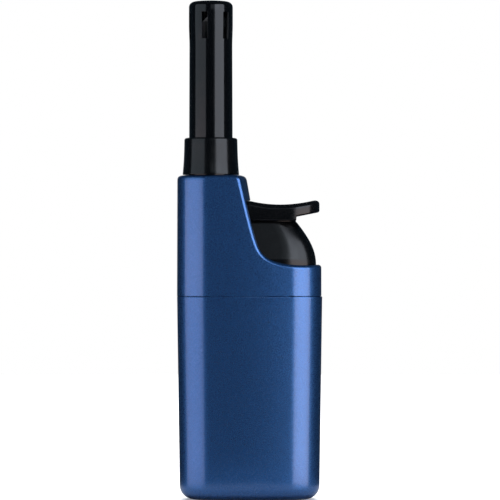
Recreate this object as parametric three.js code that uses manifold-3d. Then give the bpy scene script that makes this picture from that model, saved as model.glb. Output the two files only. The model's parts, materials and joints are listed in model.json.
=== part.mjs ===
// A thumb-operated butane utility lighter: an oval-section fuel tank, a scooped upper housing, a slim
// nozzle tube and a sliding thumb button over a piezo igniter.
// Millimetres, +Z up, origin at the middle of the base. The nozzle is on the -X side, the thumb button
// on the +X side, and the broad faces look along -Y and +Y.
import * as THREE from "three";
import { mergeVertices } from "three/addons/utils/BufferGeometryUtils.js";
import Module from "manifold-3d";

const wasm = await Module();
wasm.setup();

// ---------------------------------------------------------------- driving dimensions
const TOTAL_HEIGHT = 120;
const SEAM_Z = 48.9; // joint between tank and upper housing
const SEAM_GAP = 0.03;
const SHOULDER_Z = 78.3; // flat top of the upper housing
const BASE = { halfWidth: 16.83, halfDepth: 7.2 }; // tank section at the foot
const WAIST = { halfWidth: 17.53, halfDepth: 7.5 }; // tank section at the seam
const CHEST_FOOT = { halfWidth: 17.44, halfDepth: 7.5 }; // housing section at the seam
const CHEST = { halfWidth: 17.36, halfDepth: 7.4 }; // housing section at the shoulder
const HOUSING_SHIFT = -0.1; // the housing sits this far off centre, towards the nozzle side
// The body's level section is made of tangent arcs: round the ends, over the shoulders, across the faces.
const END_SHARE = 0.8; // radius of the end arc over the half depth
const END_TURN = THREE.MathUtils.degToRad(50); // how far the wall faces away from Y where end meets shoulder
const FACE_TURN = THREE.MathUtils.degToRad(5); // and where shoulder meets face
const WALL = 1.1;
const BASE_ROUND = 3.3;
const SHOULDER_ROUND = 1.3;

const NOZZLE_X = -9.36; // axis of valve, hose and nozzle
// The tube is necked to enter the collar, tapers a little upwards, and swells again round its windows.
const TUBE = { footZ: 74.6, neck: 5.08, neckTopZ: 79, low: 5.27, high: 5.17, highZ: 110, tip: 5.3 };
const TIP_Z = 114; // where the swelling reaches its full width
const TUBE_BORE = 4.6;
const TIP_WALL = 0.5;
const TIP_ROUND = 1.3;
const WINDOW = { count: 6, width: 1.5, z0: 110.9, z1: 117.2, firstAngle: -16 };

const TUBE_FIT = 0.08; // gap round the tube in the collar
const COLLAR = { footZ: 78.33, topZ: 87.1, edge: 0.6, spigotRadius: 5.4 };
// The collar's flank from its flared foot upwards: radius, height.
const COLLAR_FLANK = [[6.82, 78.33], [6.7, 79.6], [6.52, 81.5], [6.46, 84], [6.4, 86.5]];

const BUTTON_LEFT = -0.6; // flat inner side of the button, next to the gas lever
const BUTTON_RIGHT = 16.05; // widest point of the skirt, just inside the housing rim
// The thumb pad: its hidden end, its free end, where its flanks start to curve, and its half depth.
const PAD = { left: -1.6, right: 16.87, endX: 9.37, halfDepth: 6.1 };
const SKIRT_REACH = 1.27; // length of the skirt's half-ellipse end over its half depth
const BUTTON_FOOT_Z = 54.2;
const BUTTON_WALL = 1;

const PIEZO_X = 6.8; // axis of the piezo igniter
const PIEZO_BORE = 1.45;
const PIVOT = { x: -4.8, z: 60, radius: 0.7 };
const SECTION_STEPS = { end: 8, shoulder: 5, face: 6 };
const ROUND_STEPS = 24;

// ---------------------------------------------------------------- colours and finishes
const FINISHES = {
  bluePaint: { color: 0x24508a, roughness: 0.35, metalness: 0.6 },
  blackGloss: { color: 0x0b0c0e, roughness: 0.15, metalness: 0 },
  blackEnamel: { color: 0x0d0e10, roughness: 0.12, metalness: 0.2 },
  blackSteel: { color: 0x17171a, roughness: 0.55, metalness: 0.8 },
  tankPlastic: { color: 0x2b2d30, roughness: 0.5, metalness: 0 },
  whitePlastic: { color: 0xe8e4d8, roughness: 0.45, metalness: 0 },
  brass: { color: 0xb8954a, roughness: 0.3, metalness: 1 },
  aluminium: { color: 0xc4c6c8, roughness: 0.35, metalness: 1 },
  steel: { color: 0x8e9194, roughness: 0.3, metalness: 1 },
  springSteel: { color: 0x9a9c9e, roughness: 0.28, metalness: 1 },
  rubber: { color: 0x151515, roughness: 0.8, metalness: 0 },
  ceramic: { color: 0xcfc7b2, roughness: 0.6, metalness: 0 },
  foam: { color: 0xd8d2c0, roughness: 0.95, metalness: 0 },
  hose: { color: 0xe6e6dc, roughness: 0.35, metalness: 0 },
  leadJacket: { color: 0x8c1a16, roughness: 0.5, metalness: 0 },
};

function finish(name) {
  return new THREE.MeshStandardMaterial(FINISHES[name]);
}

// ---------------------------------------------------------------- solids
// A closed three.js geometry as a manifold solid, turned outside out if its faces point inwards.
function solid(geometry) {
  const bare = geometry.clone();
  bare.deleteAttribute("normal");
  bare.deleteAttribute("uv");
  const merged = mergeVertices(bare, 1e-4);
  const triVerts = new Uint32Array(merged.index.array);
  const vertProperties = new Float32Array(merged.attributes.position.array);
  const made = new wasm.Manifold(new wasm.Mesh({ numProp: 3, vertProperties, triVerts }));
  if (made.volume() > 0) return made;
  for (let i = 0; i < triVerts.length; i += 3) {
    [triVerts[i + 1], triVerts[i + 2]] = [triVerts[i + 2], triVerts[i + 1]];
  }
  return new wasm.Manifold(new wasm.Mesh({ numProp: 3, vertProperties, triVerts }));
}

function geometryOf(made) {
  const mesh = made.getMesh();
  const positions = new Float32Array(mesh.numVert * 3);
  for (let i = 0; i < mesh.numVert; i++) {
    positions.set(mesh.vertProperties.subarray(i * mesh.numProp, i * mesh.numProp + 3), i * 3);
  }
  const geometry = new THREE.BufferGeometry();
  geometry.setAttribute("position", new THREE.BufferAttribute(positions, 3));
  geometry.setIndex(new THREE.BufferAttribute(mesh.triVerts, 1));
  geometry.computeVertexNormals();
  return geometry;
}

// Joins a stack of rings, each a list of Vector3 of the same length, and closes both ends.
function loft(rings) {
  const count = rings[0].length;
  const points = rings.flat();
  const index = [];
  for (let k = 0; k + 1 < rings.length; k++) {
    for (let i = 0; i < count; i++) {
      const a = k * count + i;
      const b = k * count + ((i + 1) % count);
      index.push(a, b, b + count, a, b + count, a + count);
    }
  }
  for (const [ring, first, flip] of [[rings[0], 0, true], [rings.at(-1), points.length - count, false]]) {
    const flat = ringPlane(ring);
    for (const [a, b, c] of THREE.ShapeUtils.triangulateShape(flat, [])) {
      index.push(first + a, first + (flip ? c : b), first + (flip ? b : c));
    }
  }
  const geometry = new THREE.BufferGeometry().setFromPoints(points);
  geometry.setIndex(index);
  return solid(geometry);
}

// A flat ring as 2D points: in X and Y if it lies level, otherwise in X and Z.
function ringPlane(ring) {
  const level = Math.abs(ring[0].z - ring[Math.floor(ring.length / 3)].z) < 1e-6;
  return ring.map((p) => new THREE.Vector2(p.x, level ? p.y : p.z));
}

function box(x0, x1, y0, y1, z0, z1) {
  const geometry = new THREE.BoxGeometry(x1 - x0, y1 - y0, z1 - z0);
  geometry.translate((x0 + x1) / 2, (y0 + y1) / 2, (z0 + z1) / 2);
  return solid(geometry);
}

// A solid of revolution about a vertical axis through x, y. The profile is a closed loop of [r, z].
function turned(profile, x = 0, y = 0, steps = ROUND_STEPS) {
  const loop = [...profile, profile[0]].map(([r, z]) => new THREE.Vector2(r, z));
  const geometry = new THREE.LatheGeometry(loop, steps);
  geometry.rotateX(Math.PI / 2);
  geometry.translate(x, y, 0);
  return solid(geometry);
}

function rod(radius, z0, z1, x = 0, y = 0, steps = ROUND_STEPS) {
  const geometry = new THREE.CylinderGeometry(radius, radius, z1 - z0, steps);
  geometry.rotateX(Math.PI / 2);
  geometry.translate(x, y, (z0 + z1) / 2);
  return solid(geometry);
}

// A rod lying along Y through x, z.
function crossRod(radius, y0, y1, x, z, steps = 20) {
  const geometry = new THREE.CylinderGeometry(radius, radius, y1 - y0, steps);
  geometry.translate(x, (y0 + y1) / 2, z);
  return solid(geometry);
}

// A plate whose outline is a THREE.Shape in X and Z, between two Y planes.
function plate(shape, y0, y1, curveSegments = 12) {
  const geometry = new THREE.ExtrudeGeometry(shape, { depth: y1 - y0, bevelEnabled: false, curveSegments });
  geometry.rotateX(Math.PI / 2);
  geometry.translate(0, y1, 0);
  return solid(geometry);
}

// A round wire or tube along a smooth curve through the points.
function wireAlong(points, radius, steps, sides = 8) {
  const path = new THREE.CatmullRomCurve3(points.map((p) => new THREE.Vector3(...p)));
  return wireOn(path, radius, steps, sides);
}

function wireOn(path, radius, steps, sides) {
  const outline = new THREE.Shape(
    Array.from({ length: sides }, (_, i) => {
      const angle = (i / sides) * 2 * Math.PI;
      return new THREE.Vector2(radius * Math.cos(angle), radius * Math.sin(angle));
    }),
  );
  return solid(new THREE.ExtrudeGeometry(outline, { steps, extrudePath: path, bevelEnabled: false }));
}

// A helix about a vertical axis, as a curve.
class Helix extends THREE.Curve {
  constructor(x, radius, z0, z1, turns) {
    super();
    Object.assign(this, { x, radius, z0, z1, turns });
  }
  getPoint(t, target = new THREE.Vector3()) {
    const angle = t * this.turns * 2 * Math.PI;
    const z = this.z0 + t * (this.z1 - this.z0);
    return target.set(this.x + this.radius * Math.cos(angle), this.radius * Math.sin(angle), z);
  }
}

// A coil spring standing between z0 and z1, its outermost wire just inside them.
function spring(x, meanRadius, wireRadius, z0, z1, turns) {
  const helix = new Helix(x, meanRadius, z0 + wireRadius, z1 - wireRadius, turns);
  return wireOn(helix, wireRadius, Math.round(turns * 9), 5);
}

// ---------------------------------------------------------------- the body section
// The level section moved in by inset. The shoulder arc's radius is the one that gives the half depth.
function sectionRing(halfWidth, halfDepth, inset, z) {
  const end = END_SHARE * halfDepth;
  const slope = Math.tan(FACE_TURN / 2);
  const faceReach = halfWidth - end * (1 - Math.sin(END_TURN));
  const spare = halfDepth - end * Math.cos(END_TURN) - slope * faceReach;
  const shoulder = spare / (1 - Math.cos(END_TURN) - slope * Math.sin(END_TURN));
  const shoulderX = halfWidth - end + (end - shoulder) * Math.sin(END_TURN);
  const shoulderY = (end - shoulder) * Math.cos(END_TURN);
  const face = shoulder + shoulderX / Math.sin(FACE_TURN);
  const quarter = Math.PI / 2;
  const arcs = [
    [halfWidth - end, 0, end, END_TURN - quarter, quarter - END_TURN, SECTION_STEPS.end],
    [shoulderX, shoulderY, shoulder, quarter - END_TURN, quarter - FACE_TURN, SECTION_STEPS.shoulder],
    [0, halfDepth - face, face, quarter - FACE_TURN, quarter + FACE_TURN, SECTION_STEPS.face],
    [-shoulderX, shoulderY, shoulder, quarter + FACE_TURN, quarter + END_TURN, SECTION_STEPS.shoulder],
  ];
  const points = [];
  for (const side of [1, -1]) {
    for (const [cx, cy, radius, from, to, steps] of arcs) {
      for (let i = 0; i < steps; i++) {
        const a = from + ((to - from) * i) / steps;
        const x = cx + (radius - inset) * Math.cos(a);
        const y = cy + (radius - inset) * Math.sin(a);
        points.push(new THREE.Vector3(side * x, side * y, z));
      }
    }
  }
  return points;
}

function blend(low, high, t) {
  return {
    halfWidth: low.halfWidth + (high.halfWidth - low.halfWidth) * t,
    halfDepth: low.halfDepth + (high.halfDepth - low.halfDepth) * t,
  };
}

function tankRing(z, inset) {
  const at = blend(BASE, WAIST, z / SEAM_Z);
  return sectionRing(at.halfWidth, at.halfDepth, inset, z);
}

function housingRing(z, inset) {
  const at = blend(CHEST_FOOT, CHEST, (z - SEAM_Z) / (SHOULDER_Z - SEAM_Z));
  const ring = sectionRing(at.halfWidth, at.halfDepth, inset, z);
  for (const point of ring) point.x += HOUSING_SHIFT;
  return ring;
}

// ---------------------------------------------------------------- tank
function tankBody() {
  const outer = [];
  const rounds = 6;
  for (let i = rounds; i >= 0; i--) {
    const a = (i / rounds) * (Math.PI / 2);
    outer.push(tankRing(BASE_ROUND * (1 - Math.sin(a)), BASE_ROUND * (1 - Math.cos(a))));
  }
  const topZ = SEAM_Z - SEAM_GAP / 2;
  const shell = loft([...outer, tankRing(topZ, 0)]);
  const floorZ = 1.8;
  const sideWall = WALL + 0.1;
  const inside = loft([tankRing(floorZ, 3), tankRing(floorZ + 1.8, sideWall), tankRing(topZ + 1, sideWall)]);
  const boss = rod(4.2, 0.9, 9.9);
  const divider = box(6.2, 7.2, -7, 7, 1, 31).intersect(loft([tankRing(1, 2), tankRing(31, 0.5)]));
  const passages = box(5, 8, -4.4, 4.4, 2.4, 4).add(box(5, 8, -4.4, 4.4, 27, 32));
  return shell
    .subtract(inside)
    .add(boss)
    .add(divider.subtract(passages))
    .subtract(rod(3, -1, 11))
    .subtract(turned([[0, -1], [4.4, -1], [4.4, 0.25], [3.4, 0.9], [0, 0.9]]));
}

function tankLid() {
  const plateFootZ = 45.9;
  const plateTopZ = SEAM_Z - 0.15;
  const plug = loft([tankRing(plateFootZ, WALL + 0.25), tankRing(plateTopZ, WALL + 0.25)]);
  const spigotTopZ = 49.9;
  const spigot = loft([housingRing(plateTopZ - 0.5, WALL + 0.3), housingRing(spigotTopZ, WALL + 0.3)]);
  const hooks = loft([housingRing(plateTopZ - 0.5, WALL + 0.3), housingRing(53, WALL + 0.3)]);
  const core = loft([housingRing(plateTopZ, WALL + 1.5), housingRing(54, WALL + 1.5)]);
  const rim = spigot.add(hooks.intersect(box(-18, -10.5, -8, 8, 40, 60))).subtract(core);
  const tower = rod(3.6, 40.5, 50.5, NOZZLE_X);
  const clearOfTank = loft([tankRing(33, WALL + 0.25), tankRing(plateTopZ, WALL + 0.25)]);
  const pocket = box(PIEZO_X - 5.8, PIEZO_X + 5.8, -3.9, 3.9, 33.6, plateTopZ).intersect(clearOfTank);
  const ears = [-1, 1].map((side) => {
    const shape = new THREE.Shape();
    shape.moveTo(PIVOT.x - 1.1, plateTopZ - 1);
    shape.lineTo(PIVOT.x + 1.1, plateTopZ - 1);
    shape.lineTo(PIVOT.x + 1.1, PIVOT.z + 0.4);
    shape.absarc(PIVOT.x, PIVOT.z + 0.4, 1.1, 0, Math.PI, false);
    return plate(shape, side > 0 ? 2.7 : -3.9, side > 0 ? 3.9 : -2.7);
  });
  return plug
    .add(rim)
    .add(tower)
    .add(pocket)
    .add(ears[0])
    .add(ears[1])
    .subtract(rod(2.5, 44, 60, NOZZLE_X))
    .subtract(rod(2.1, 41.3, 45, NOZZLE_X))
    .subtract(rod(1.05, 39, 42, NOZZLE_X))
    .subtract(box(PIEZO_X - 4.72, PIEZO_X + 4.72, -2.82, 2.82, 34.8, 55))
    .subtract(crossRod(PIVOT.radius + 0.08, -5, 5, PIVOT.x, PIVOT.z));
}

function refillBody() {
  return turned([
    [1.6, 1], [2.9, 1], [2.9, 9.6], [0.75, 9.6], [0.75, 8.7], [2.1, 8.7], [2.1, 3.05], [1.6, 3.05],
  ]);
}

function refillStem() {
  return turned([
    [0, 0.45], [1.1, 0.45], [1.35, 0.8], [1.35, 4.2], [1.95, 4.2], [1.95, 4.9],
    [0.6, 4.9], [0.6, 7.2], [0, 7.2],
  ]);
}

function sealRing() {
  const section = Array.from({ length: 8 }, (_, i) => {
    const a = (i / 8) * 2 * Math.PI;
    return [1.74 + 0.3 * Math.cos(a), 3.62 + 0.5 * Math.sin(a)];
  });
  return turned(section);
}

// ---------------------------------------------------------------- upper housing
// The side view of the scoop's crisp edge, from above the shoulder down to beyond the rim.
function scoopPoints() {
  const path = new THREE.CurvePath();
  path.add(
    new THREE.CubicBezierCurve(
      new THREE.Vector2(-2.98, 79.6),
      new THREE.Vector2(-1.75, 74.2),
      new THREE.Vector2(0.8, 63.1),
      new THREE.Vector2(2.1, 60.5),
    ),
  );
  path.add(
    new THREE.CubicBezierCurve(
      new THREE.Vector2(2.1, 60.5),
      new THREE.Vector2(3.8, 57.1),
      new THREE.Vector2(7.5, 56.05),
      new THREE.Vector2(19, 56.0),
    ),
  );
  return path.getPoints(12).filter((p, i, all) => i === 0 || p.distanceTo(all[i - 1]) > 1e-6);
}

// The tool that takes the thumb scoop out of the block. Its surface is crowned across Y, most near the
// shoulder, so the middle stands proud of the two side edges. A positive depth moves it into the block.
function scoopTool(depth) {
  const edge = scoopPoints();
  const across = 12;
  const reach = 9;
  const rings = [];
  for (let k = 0; k <= across; k++) {
    const y = -reach + (2 * reach * k) / across;
    const crownShape = Math.max(0, 1 - (y / CHEST.halfDepth) ** 2);
    const ring = edge.map((p, i) => {
      const before = edge[Math.max(0, i - 1)];
      const after = edge[Math.min(edge.length - 1, i + 1)];
      const along = after.clone().sub(before).normalize();
      const crown = 0.53 + 0.057 * Math.max(0, p.y - 57);
      const move = crown * crownShape - depth;
      return new THREE.Vector3(p.x - along.y * move, y, p.y + along.x * move);
    });
    for (const [x, z] of [[24, 56 - depth], [24, 84], [-3.2, 84]]) ring.push(new THREE.Vector3(x, y, z));
    rings.push(ring);
  }
  return loft(rings);
}

const OPENING_TOP_Z = 72;

function upperHousing() {
  const footZ = SEAM_Z + SEAM_GAP / 2;
  const rings = [housingRing(footZ, 0)];
  const rounds = 4;
  for (let i = 0; i <= rounds; i++) {
    const a = (i / rounds) * (Math.PI / 2);
    const drop = SHOULDER_ROUND * (1 - Math.sin(a));
    rings.push(housingRing(SHOULDER_Z - drop, SHOULDER_ROUND * (1 - Math.cos(a))));
  }
  const block = loft(rings).subtract(scoopTool(0));
  const cavity = loft([housingRing(footZ - 1, WALL), housingRing(76.4, WALL)]);
  const backedScoop = scoopTool(WALL).intersect(box(-20, 30, -10, 10, OPENING_TOP_Z, 90));
  const collarHole = rod(COLLAR.spigotRadius + 0.1, 70, 80, NOZZLE_X, 0, 40);
  return block.subtract(cavity.subtract(backedScoop)).subtract(collarHole);
}

// ---------------------------------------------------------------- nozzle
// Its spigot clips into the housing by a low bead, and a lip at its foot carries the tube.
function nozzleCollar() {
  const { footZ, topZ, edge, spigotRadius } = COLLAR;
  const bead = spigotRadius + 0.2;
  const top = COLLAR_FLANK.at(-1)[0];
  const bore = TUBE.low + TUBE_FIT;
  const neckBore = TUBE.neck + TUBE_FIT;
  const profile = [
    [4.3, 73.6], [spigotRadius, 73.6], [spigotRadius, 75.4], [bead, 75.6], [bead, 75.9], [spigotRadius, 76.1],
    [spigotRadius, footZ], ...COLLAR_FLANK, [top - 0.18, topZ - 0.17], [top - edge, topZ],
    [bore, topZ], [bore, TUBE.neckTopZ], [neckBore, TUBE.neckTopZ], [neckBore, 74.5], [4.3, 74.5],
  ];
  return turned(profile, NOZZLE_X, 0, 40);
}

function nozzleTube() {
  const bend = TOTAL_HEIGHT - TIP_ROUND;
  const bendX = TUBE.tip - TIP_ROUND;
  const arc = (radius, from, to) =>
    Array.from({ length: 5 }, (_, i) => {
      const a = from + ((to - from) * i) / 4;
      return [bendX + radius * Math.cos(a), bend + radius * Math.sin(a)];
    });
  const profile = [
    [TUBE_BORE, TUBE.footZ], [TUBE.neck, TUBE.footZ], [TUBE.neck, TUBE.neckTopZ],
    [TUBE.low, TUBE.neckTopZ + 0.3], [TUBE.high, TUBE.highZ], [TUBE.tip, TIP_Z],
    ...arc(TIP_ROUND, 0, Math.PI / 2),
    [3.3, TOTAL_HEIGHT], [3.3, TOTAL_HEIGHT - TIP_WALL],
    ...arc(TIP_ROUND - TIP_WALL, Math.PI / 2, 0),
    [TUBE.tip - TIP_WALL, TIP_Z], [TUBE_BORE, TUBE.highZ],
  ];
  let tube = turned(profile, NOZZLE_X, 0, 40);
  for (let i = 0; i < WINDOW.count; i++) {
    const angle = WINDOW.firstAngle + (i * 360) / WINDOW.count;
    const slot = new THREE.BoxGeometry(WINDOW.width, 3, WINDOW.z1 - WINDOW.z0);
    slot.translate(0, -TUBE.high, (WINDOW.z0 + WINDOW.z1) / 2);
    slot.rotateZ(THREE.MathUtils.degToRad(angle));
    slot.translate(NOZZLE_X, 0, 0);
    tube = tube.subtract(solid(slot));
  }
  return tube;
}

const LEAD_Y = 3.3; // the ignition lead's place beside the nozzle axis

function nozzleInsert() {
  const body = turned([
    [1.5, 79], [4.4, 79], [4.4, 82.5], [2.5, 83.5], [2.5, 103.2], [4.4, 104.2], [4.4, 108.2], [1.5, 108.2],
  ], NOZZLE_X);
  return body.subtract(box(NOZZLE_X - 0.65, NOZZLE_X + 0.65, LEAD_Y - 0.62, 6, 78, 109));
}

function burnerJet() {
  return turned([
    [0.35, 105.6], [0.75, 105.6], [0.85, 106.2], [0.85, 108.3], [2.1, 108.3], [2.1, 115.2], [1.4, 115.9],
    [0.9, 116.4], [0.35, 116.4],
  ], NOZZLE_X);
}

function sparkElectrode() {
  return wireAlong([
    [NOZZLE_X, LEAD_Y, 108.95], [NOZZLE_X, LEAD_Y, 111], [NOZZLE_X, LEAD_Y, 113.2],
    [NOZZLE_X, LEAD_Y - 0.35, 114.9], [NOZZLE_X, LEAD_Y - 1, 115.9], [NOZZLE_X, LEAD_Y - 1.8, 116.3],
  ], 0.35, 18);
}

function gasHose() {
  return turned([[0.9, 62.0], [1.3, 62.0], [1.3, 108.1], [0.9, 108.1]], NOZZLE_X, 0, 20);
}

function ignitionLead() {
  return wireAlong([
    [PIEZO_X - 4, 1.9, 49], [PIEZO_X - 4.25, 2, 50.1], [PIEZO_X - 5.2, 2.1, 50.6], [0, 2.2, 50.6],
    [-1.9, 2.7, 51], [-2.8, 4.5, 53.6], [-3.6, 5.2, 58], [-5.5, 4.9, 64], [-8.3, 3.6, 69.6],
    [NOZZLE_X, LEAD_Y, 75], [NOZZLE_X, LEAD_Y, 84], [NOZZLE_X, LEAD_Y, 96], [NOZZLE_X, LEAD_Y, 108.6],
  ], 0.45, 40, 6);
}

// ---------------------------------------------------------------- outlet valve and gas lever
function valveHousing() {
  return turned([
    [0.6, 44.1], [2.42, 44.1], [2.42, 51.4], [2.9, 51.4], [2.9, 53], [2.6, 53.2], [1.35, 53.2], [1.35, 52.5],
    [1.95, 52.5], [1.95, 46], [0.6, 46],
  ], NOZZLE_X);
}

function valveSeal() {
  return turned([[0.5, 46.1], [1.8, 46.1], [1.8, 47.3], [0.5, 47.3]], NOZZLE_X);
}

function outletStem() {
  return turned([
    [0, 47.5], [1.6, 47.5], [1.6, 48.4], [1.1, 48.4], [1.1, 58], [1.5, 58.1], [1.5, 58.7], [1, 58.8], [1, 61],
    [1.8, 61], [1.8, 61.7], [0.85, 61.8], [0.85, 64], [0.7, 64.4], [0.3, 64.4], [0.3, 50], [0, 50],
  ], NOZZLE_X);
}

function gasFilter() {
  return rod(1.95, 41.45, 43.85, NOZZLE_X);
}

function dipTube() {
  return turned([[0.55, 3.4], [0.95, 3.4], [0.95, 41.2], [0.55, 41.2]], NOZZLE_X, 0, 16);
}

function gasLever() {
  const hub = crossRod(1.35, -2.35, 2.35, PIVOT.x, PIVOT.z, 24);
  const prongs = [-1, 1].map((side) => {
    const shape = new THREE.Shape();
    shape.moveTo(PIVOT.x, PIVOT.z - 0.6);
    shape.lineTo(PIVOT.x, PIVOT.z + 0.6);
    shape.lineTo(-9.8, PIVOT.z + 0.6);
    shape.absarc(-9.8, PIVOT.z, 0.6, Math.PI / 2, 1.5 * Math.PI, false);
    return plate(shape, side > 0 ? 1.15 : -2.35, side > 0 ? 2.35 : -1.15);
  });
  const tip = new THREE.Vector2(-2.9, 55.6);
  const arm = new THREE.Shape();
  arm.moveTo(PIVOT.x - 1.1, PIVOT.z - 0.5);
  arm.lineTo(tip.x - 0.65, tip.y - 0.25);
  arm.absarc(tip.x, tip.y, 0.7, 1.12 * Math.PI, 2.06 * Math.PI, false);
  arm.lineTo(PIVOT.x + 1.25, PIVOT.z - 0.4);
  return hub
    .add(prongs[0])
    .add(prongs[1])
    .add(plate(arm, -1.2, 1.2))
    .subtract(crossRod(PIVOT.radius + 0.08, -4, 4, PIVOT.x, PIVOT.z));
}

// ---------------------------------------------------------------- piezo igniter
function piezoCase() {
  const block = box(PIEZO_X - 4.6, PIEZO_X + 4.6, -2.7, 2.7, 35, 48.8);
  const neck = box(PIEZO_X - 2.1, PIEZO_X + 2.1, -1.9, 1.9, 48, 59.4);
  const slots = box(PIEZO_X - 4, PIEZO_X + 4, -0.7, 0.7, 49.3, 57.6);
  return block.add(neck).subtract(rod(PIEZO_BORE, 34, 60, PIEZO_X)).subtract(slots);
}

function piezoPlunger() {
  const outside = box(PIEZO_X - 2.9, PIEZO_X + 2.9, -2.65, 2.65, 54.2, 65.3);
  const inside = box(PIEZO_X - 2.2, PIEZO_X + 2.2, -2.12, 2.12, 53, 64.3);
  return outside.subtract(inside);
}

function piezoHammer() {
  const radius = PIEZO_BORE - 0.1;
  const weight = turned([[0, 50.6], [radius - 0.3, 50.6], [radius, 51], [radius, 55], [0, 55]], PIEZO_X);
  return weight.add(box(PIEZO_X - 2, PIEZO_X + 2, -0.5, 0.5, 52.6, 53.8));
}

function piezoAnvil() {
  const radius = PIEZO_BORE - 0.1;
  return turned([[0, 45.6], [radius, 45.6], [radius, 46.6], [radius - 0.4, 47.1], [0, 47.1]], PIEZO_X);
}

function piezoCrystal() {
  return rod(PIEZO_BORE - 0.15, 38.5, 45.4, PIEZO_X);
}

function piezoContact() {
  const radius = PIEZO_BORE - 0.1;
  return turned([[0, 35.1], [radius, 35.1], [radius, 37], [radius - 0.4, 38.3], [0, 38.3]], PIEZO_X);
}

// ---------------------------------------------------------------- thumb button
// The button's level section: a half ellipse at its free end, flat on its hidden left side.
function buttonRing(left, right, halfDepth, z) {
  const steps = 14;
  const corner = 1;
  const endReach = SKIRT_REACH * halfDepth;
  const points = [];
  for (let i = 0; i <= steps; i++) {
    const a = -Math.PI / 2 + (Math.PI * i) / steps;
    points.push(new THREE.Vector3(right - endReach * (1 - Math.cos(a)), halfDepth * Math.sin(a), z));
  }
  for (const [turn, sign] of [[0.5, 1], [1, -1]]) {
    for (let i = 0; i <= 3; i++) {
      const a = Math.PI * (turn + i / 6);
      const x = left + corner + corner * Math.cos(a);
      points.push(new THREE.Vector3(x, sign * (halfDepth - corner) + corner * Math.sin(a), z));
    }
  }
  return points;
}

// Right-hand silhouette of the skirt: height, outermost x, half depth.
const SKIRT = [
  [BUTTON_FOOT_Z, BUTTON_RIGHT, 5.7],
  [57.2, BUTTON_RIGHT, 5.7],
  [59.2, 15.6, 5.44],
  [61.3, 14.88, 5.04],
  [63.5, 13.85, 4.62],
  [65.6, 12.3, 4.22],
  [66.9, 11.3, 3.98],
  [68.6, 11.1, 3.9],
];

function thumbButton() {
  const skirt = loft(SKIRT.map(([z, right, halfDepth]) => buttonRing(BUTTON_LEFT, right, halfDepth, z)));
  const hollow = loft(
    SKIRT.slice(0, 6).map(([z, right, halfDepth], i) =>
      buttonRing(BUTTON_LEFT + BUTTON_WALL, right - BUTTON_WALL, halfDepth - BUTTON_WALL, i ? z : z - 1),
    ),
  );
  const pad = new THREE.Shape();
  pad.moveTo(PAD.left, 67.6);
  pad.lineTo(PAD.left, 71.85);
  pad.lineTo(0.1, 71.85);
  pad.bezierCurveTo(4.5, 70.9, 8.6, 70.75, 13.8, 71.6);
  pad.bezierCurveTo(15.3, 71.95, 16.5, 72.2, PAD.right, 70.6);
  pad.lineTo(PAD.right, 69.7);
  pad.quadraticCurveTo(PAD.right, 69.25, 16.3, 69.15);
  pad.lineTo(12.3, 68.35);
  pad.quadraticCurveTo(11.25, 68.1, 11.1, 66.9);
  pad.lineTo(10.2, 66.9);
  const plan = new THREE.Shape();
  plan.moveTo(PAD.left - 1, -PAD.halfDepth);
  plan.lineTo(PAD.endX, -PAD.halfDepth);
  plan.absellipse(PAD.endX, 0, PAD.right - PAD.endX, PAD.halfDepth, -Math.PI / 2, Math.PI / 2, false, 0);
  plan.lineTo(PAD.left - 1, PAD.halfDepth);
  const footprint = new THREE.ExtrudeGeometry(plan, { depth: 12, bevelEnabled: false, curveSegments: 16 });
  footprint.translate(0, 0, 62);
  const tread = plate(pad, -7, 7, 8).intersect(solid(footprint));
  const press = box(PIEZO_X - 2.4, PIEZO_X + 2.4, -2.2, 2.2, 65.42, 68);
  const cam = new THREE.Shape();
  cam.moveTo(BUTTON_LEFT + 0.4, BUTTON_FOOT_Z + 0.2);
  cam.lineTo(BUTTON_LEFT + 0.4, 61.5);
  cam.lineTo(-1.6, 61.5);
  cam.lineTo(-3.12, 59.9);
  cam.lineTo(-1.64, BUTTON_FOOT_Z + 0.2);
  const notch = box(-2, 1.5, 1.35, 3.1, 53, 55.6);
  return skirt
    .subtract(hollow)
    .add(tread)
    .add(press)
    .add(plate(cam, -1.2, 1.2))
    .subtract(notch);
}

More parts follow.
